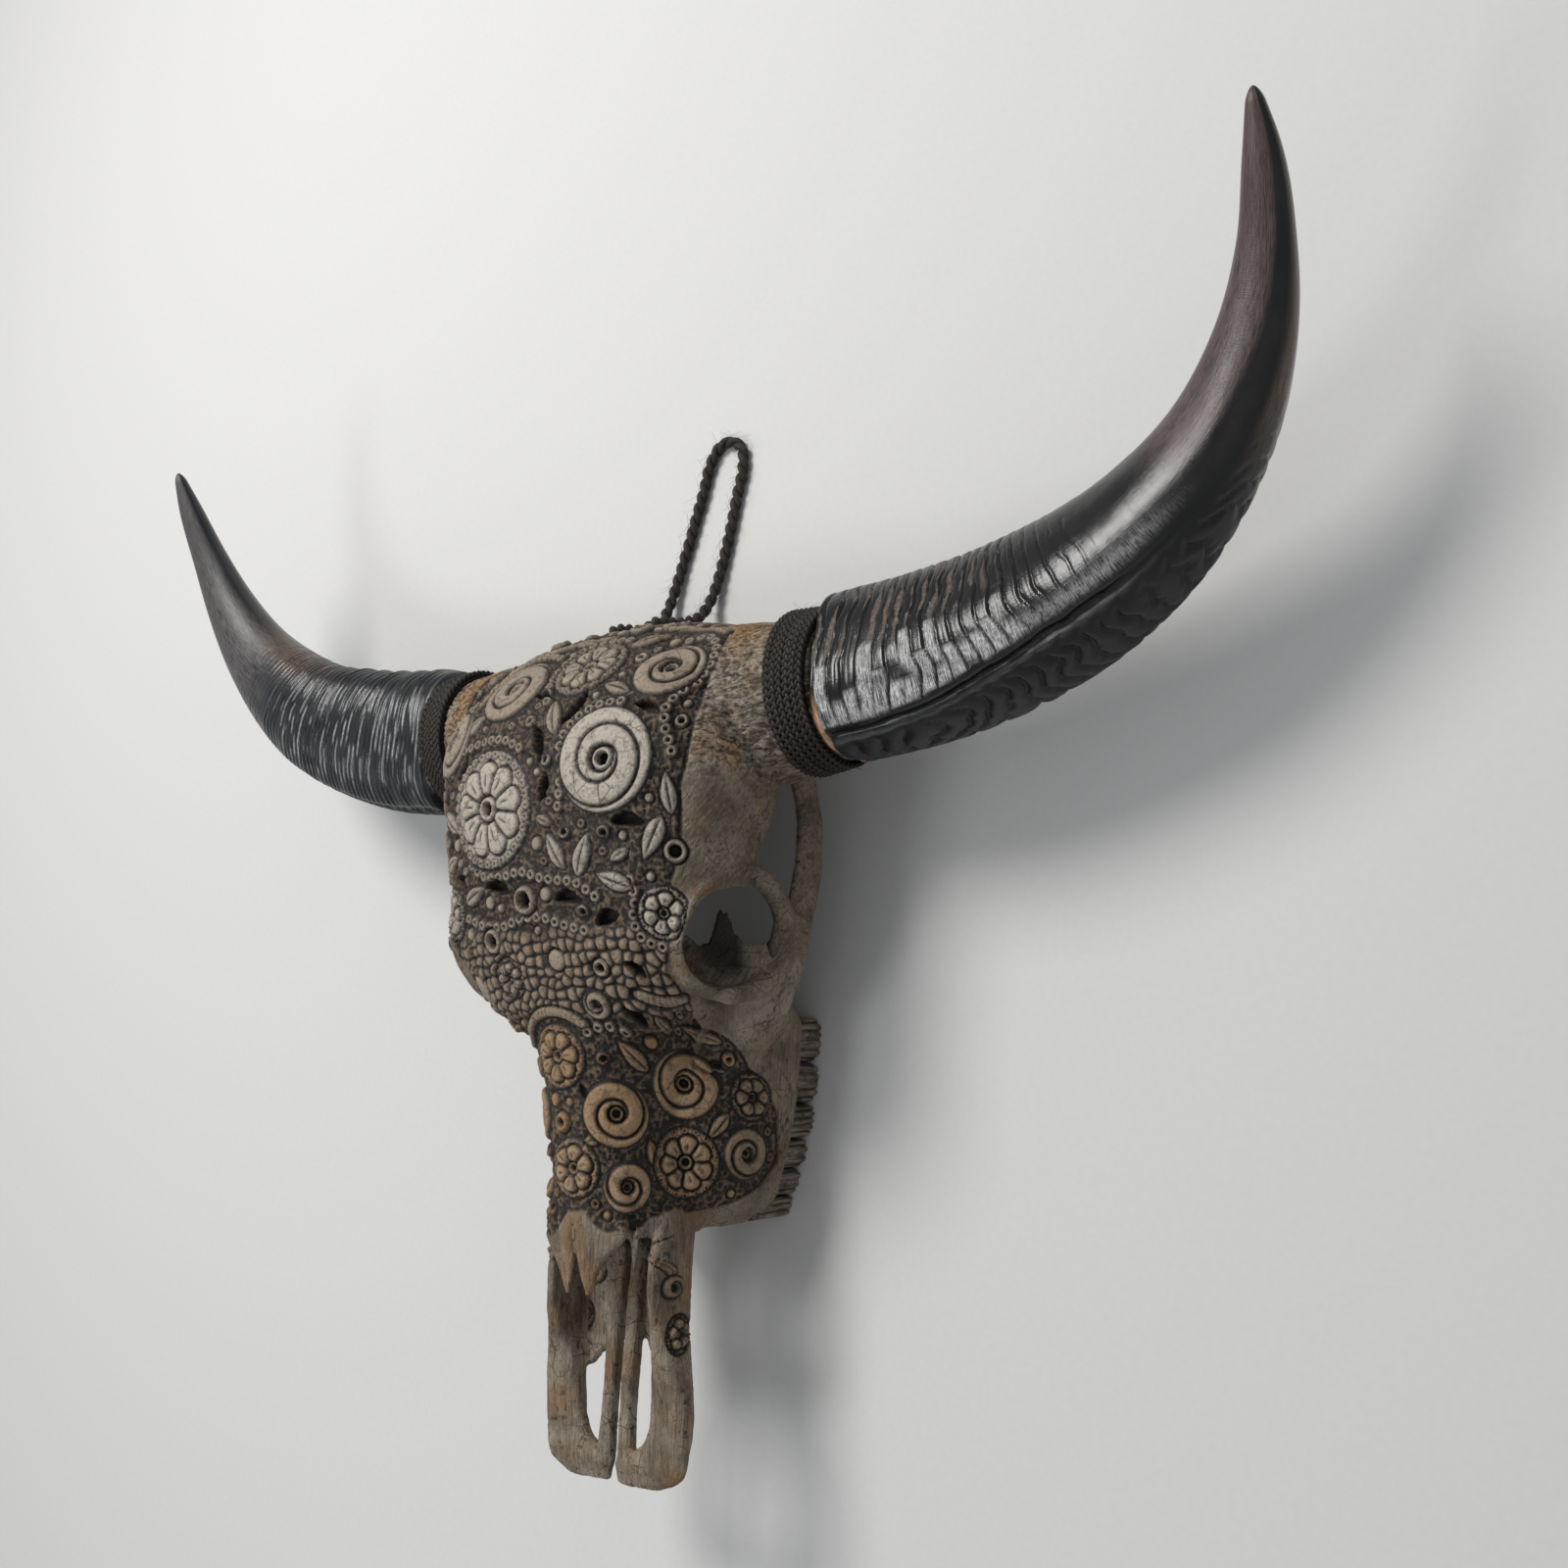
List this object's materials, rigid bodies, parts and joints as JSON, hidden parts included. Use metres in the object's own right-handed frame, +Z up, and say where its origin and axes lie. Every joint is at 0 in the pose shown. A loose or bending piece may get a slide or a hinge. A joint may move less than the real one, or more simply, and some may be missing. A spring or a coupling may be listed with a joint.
{
  "type": "carved water buffalo skull",
  "caption": "Water buffalo skull with a carved bone face, ridged black horns bound to the head with fibre cord, and a cord loop at the crown to hang it by, lying face up.",
  "frame": {"origin": "on the surface that the skull rests on, under the middle of the bounding box", "axes": "+X towards the animal's own left horn tip, +Y from the nose towards the crown, +Z up, out of the face, with the skull lying face up"},
  "size_m": [0.8408, 0.6612, 0.1754],
  "materials": {
    "bone": "matte",
    "enamel": "satin",
    "horn": "satin",
    "cord_fibre": "matte"
  },
  "bodies": {
    "root": {"skull": "bone", "left_premolar_2": "enamel", "right_premolar_2": "enamel", "left_premolar_3": "enamel", "right_premolar_3": "enamel", "left_premolar_4": "enamel", "right_premolar_4": "enamel", "left_molar_1": "enamel", "right_molar_1": "enamel", "left_molar_2": "enamel", "right_molar_2": "enamel", "left_molar_3": "enamel", "right_molar_3": "enamel", "left_horn": "horn", "right_horn": "horn", "left_horn_binding": "cord_fibre", "right_horn_binding": "cord_fibre", "hanging_cord": "cord_fibre"}
  },
  "joints": []
}
